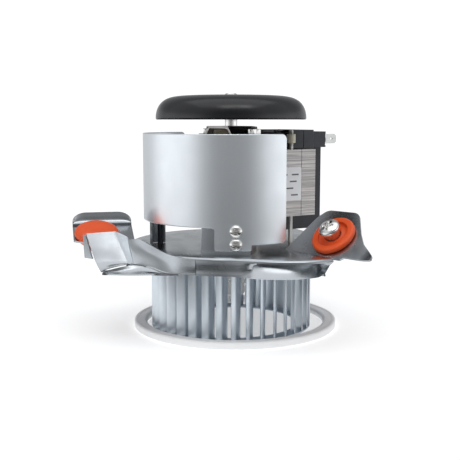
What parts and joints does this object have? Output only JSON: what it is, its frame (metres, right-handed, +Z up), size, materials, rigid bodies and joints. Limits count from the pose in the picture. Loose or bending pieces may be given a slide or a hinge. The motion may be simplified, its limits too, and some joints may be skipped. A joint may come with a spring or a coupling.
{
  "type": "combustion fan",
  "caption": "Furnace combustion fan: shaded-pole motor with domed cooling fan and half-round heat shield on a legged sheet bracket, squirrel-cage wheel below, loose gasket ring.",
  "frame": {"origin": "under the middle of the whole part, on the surface that the wheel stands on", "axes": "+Z up along the motor's shaft, +X from the left leg towards the right leg, -Y towards the shield's screws"},
  "size_m": [0.1797, 0.1858, 0.1487],
  "materials": {
    "aluminium": "die cast",
    "black_plastic": "moulded nylon",
    "bracket_steel": "satin stamped sheet",
    "bright_steel": "bright nickel plate",
    "bronze": "oil-soaked sintered bronze",
    "copper": "bare copper",
    "fan_plastic": "glossy moulded black",
    "felt": "oiled felt",
    "galvanised": "galvanised sheet, faint spangle",
    "gasket": "smooth white foam",
    "label": "plain white film",
    "lamination": "stacked bare laminations",
    "nylon": "natural nylon",
    "plated_steel": "dull zinc plate",
    "shield_steel": "satin zinc-coated sheet",
    "silicone": "orange silicone",
    "winding": "taped enamelled wire"
  },
  "bodies": {
    "frame": {"back_grommet": "silicone", "back_grommet_sleeve": "plated_steel", "back_mounting_screw": "bright_steel", "coil_bobbin": "black_plastic", "coil_winding": "winding", "front_core_bolt": "bright_steel", "front_core_bolt_lower_spacer": "plated_steel", "front_core_bolt_nut": "bright_steel", "front_core_bolt_upper_spacer": "plated_steel", "front_stud": "bright_steel", "front_stud_nut": "bright_steel", "heat_shield": "shield_steel", "left_grommet": "silicone", "left_grommet_sleeve": "plated_steel", "left_mounting_screw": "bright_steel", "lower_bearing": "bronze", "lower_bearing_bridge": "plated_steel", "lower_bearing_keeper": "bright_steel", "lower_oil_wick": "felt", "motor_strap": "bracket_steel", "mounting_bracket": "bracket_steel", "rating_label": "label", "rear_core_bolt": "bright_steel", "rear_core_bolt_lower_spacer": "plated_steel", "rear_core_bolt_nut": "bright_steel", "rear_core_bolt_upper_spacer": "plated_steel", "rear_stud": "bright_steel", "rear_stud_nut": "bright_steel", "right_grommet": "silicone", "right_grommet_sleeve": "plated_steel", "right_mounting_screw": "bright_steel", "shading_coil_a": "copper", "shading_coil_b": "copper", "shield_screw_lower": "bright_steel", "shield_screw_upper": "bright_steel", "spade_terminal_a": "bright_steel", "spade_terminal_b": "bright_steel", "stator_core": "lamination", "stator_yoke": "lamination", "strap_screw": "black_plastic", "strap_screw_nut": "bright_steel", "strap_standoff": "bracket_steel", "terminal_block": "black_plastic", "thermal_lead": "black_plastic", "upper_bearing": "bronze", "upper_bearing_bridge": "plated_steel", "upper_bearing_keeper": "bright_steel", "upper_oil_wick": "felt"},
    "rotor": {"motor_shaft": "bright_steel", "cooling_fan": "fan_plastic", "rotor_core": "lamination", "rotor_end_ring_upper": "aluminium", "rotor_end_ring_lower": "aluminium", "thrust_washer_upper": "nylon", "thrust_washer_lower": "nylon", "wheel_blades": "galvanised", "wheel_backplate": "galvanised", "wheel_hub": "plated_steel", "hub_set_screw": "bright_steel"},
    "gasket": {"gasket_ring": "gasket"}
  },
  "joints": [
    {"name": "rotor_spin", "type": "hinge", "parent": "frame", "child": "rotor", "pos_m": [0.01045, -0.01435, 0.09], "axis": [0, 0, 1], "continuous": true},
    {"name": "gasket_lift", "type": "slide", "parent": "frame", "child": "gasket", "axis": [0, 0, 1], "range_m": [-0.06, 0.03]}
  ]
}
